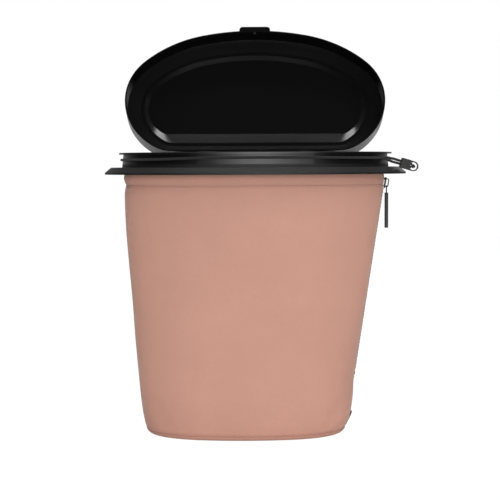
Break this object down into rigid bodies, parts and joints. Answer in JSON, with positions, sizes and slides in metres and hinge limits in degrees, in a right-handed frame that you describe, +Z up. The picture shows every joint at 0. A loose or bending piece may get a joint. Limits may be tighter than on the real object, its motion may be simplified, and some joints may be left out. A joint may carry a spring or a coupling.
{
  "type": "soft waste bin",
  "caption": "Soft-sided waste bin: a tapered fabric bag with a side zip hangs from a moulded collar with a hinged lid, an elastic liner cord and a cord lock.",
  "frame": {"origin": "In the plane that the base stands on, under the widest line of the collar and midway across it.", "axes": "+Z up, -Y the rounded front of the bin, +X the side with the zip and the cord lock. Rest pose: lid open on its stop."},
  "size_m": [0.3392, 0.2614, 0.458],
  "materials": {
    "moulded_black": "moulded satin black plastic",
    "pin_steel": "drawn steel pin",
    "bag_fabric": "salmon pink twill",
    "black_tape": "woven black tape",
    "board": "stiff board",
    "zip_tape": "woven zip tape",
    "zip_teeth": "moulded zip teeth",
    "black_metal": "black painted die casting",
    "grip_charcoal": "matte charcoal grip",
    "elastic": "braided elastic cord",
    "lock_black": "moulded black plastic",
    "spring_steel": "spring wire",
    "label_tape": "blank woven label"
  },
  "bodies": {
    "root": {"collar": "moulded_black", "hinge_pin_left": "pin_steel", "hinge_pin_right": "pin_steel", "bag_front_panel": "bag_fabric", "bag_back_panel": "bag_fabric", "bag_hem": "bag_fabric", "loop_tape": "black_tape", "hook_tape": "black_tape", "base_panel": "bag_fabric", "base_board": "board", "base_binding": "black_tape", "zip_tape_front": "zip_tape", "zip_tape_back": "zip_tape", "zip_teeth_front": "zip_teeth", "zip_teeth_back": "zip_teeth", "zip_top_stops": "zip_teeth", "zip_bottom_stop": "zip_teeth", "elastic_cord": "elastic", "cord_strand_front": "elastic", "cord_strand_back": "elastic", "side_label": "label_tape"},
    "lid": {"lid": "moulded_black"},
    "zip_slider": {"zip_slider": "black_metal"},
    "zip_pull": {"zip_pull_link": "black_metal", "zip_pull_bar": "grip_charcoal"},
    "cord_lock": {"cord_lock_body": "lock_black", "cord_lock_spring": "spring_steel", "cord_tail": "elastic"},
    "lock_plunger": {"cord_lock_plunger": "lock_black"}
  },
  "joints": [
    {"name": "lid_hinge", "type": "hinge", "parent": "root", "child": "lid", "pos_m": [0, 0.07568, 0.299], "axis": [1, 0, 0], "range_deg": [0, 115]},
    {"name": "zip_travel", "type": "slide", "parent": "root", "child": "zip_slider", "axis": [-0.1512, 0, -0.9885], "range_m": [0, 0.2065]},
    {"name": "zip_pull_swing", "type": "hinge", "parent": "zip_slider", "child": "zip_pull", "pos_m": [0.14398, 0, 0.26987], "axis": [0, 1, 0], "range_deg": [-100, 5]},
    {"name": "cord_lock_pull", "type": "slide", "parent": "root", "child": "cord_lock", "axis": [0.9563, 0, -0.2924], "range_m": [0, 0.012], "stiffness_N_per_m": 120, "deforming": ["cord_strand_front", "cord_strand_back"]},
    {"name": "plunger_press", "type": "slide", "parent": "cord_lock", "child": "lock_plunger", "axis": [0, -1, 0], "range_m": [0, 0.0016], "stiffness_N_per_m": 400, "deforming": ["cord_lock_spring"]}
  ]
}
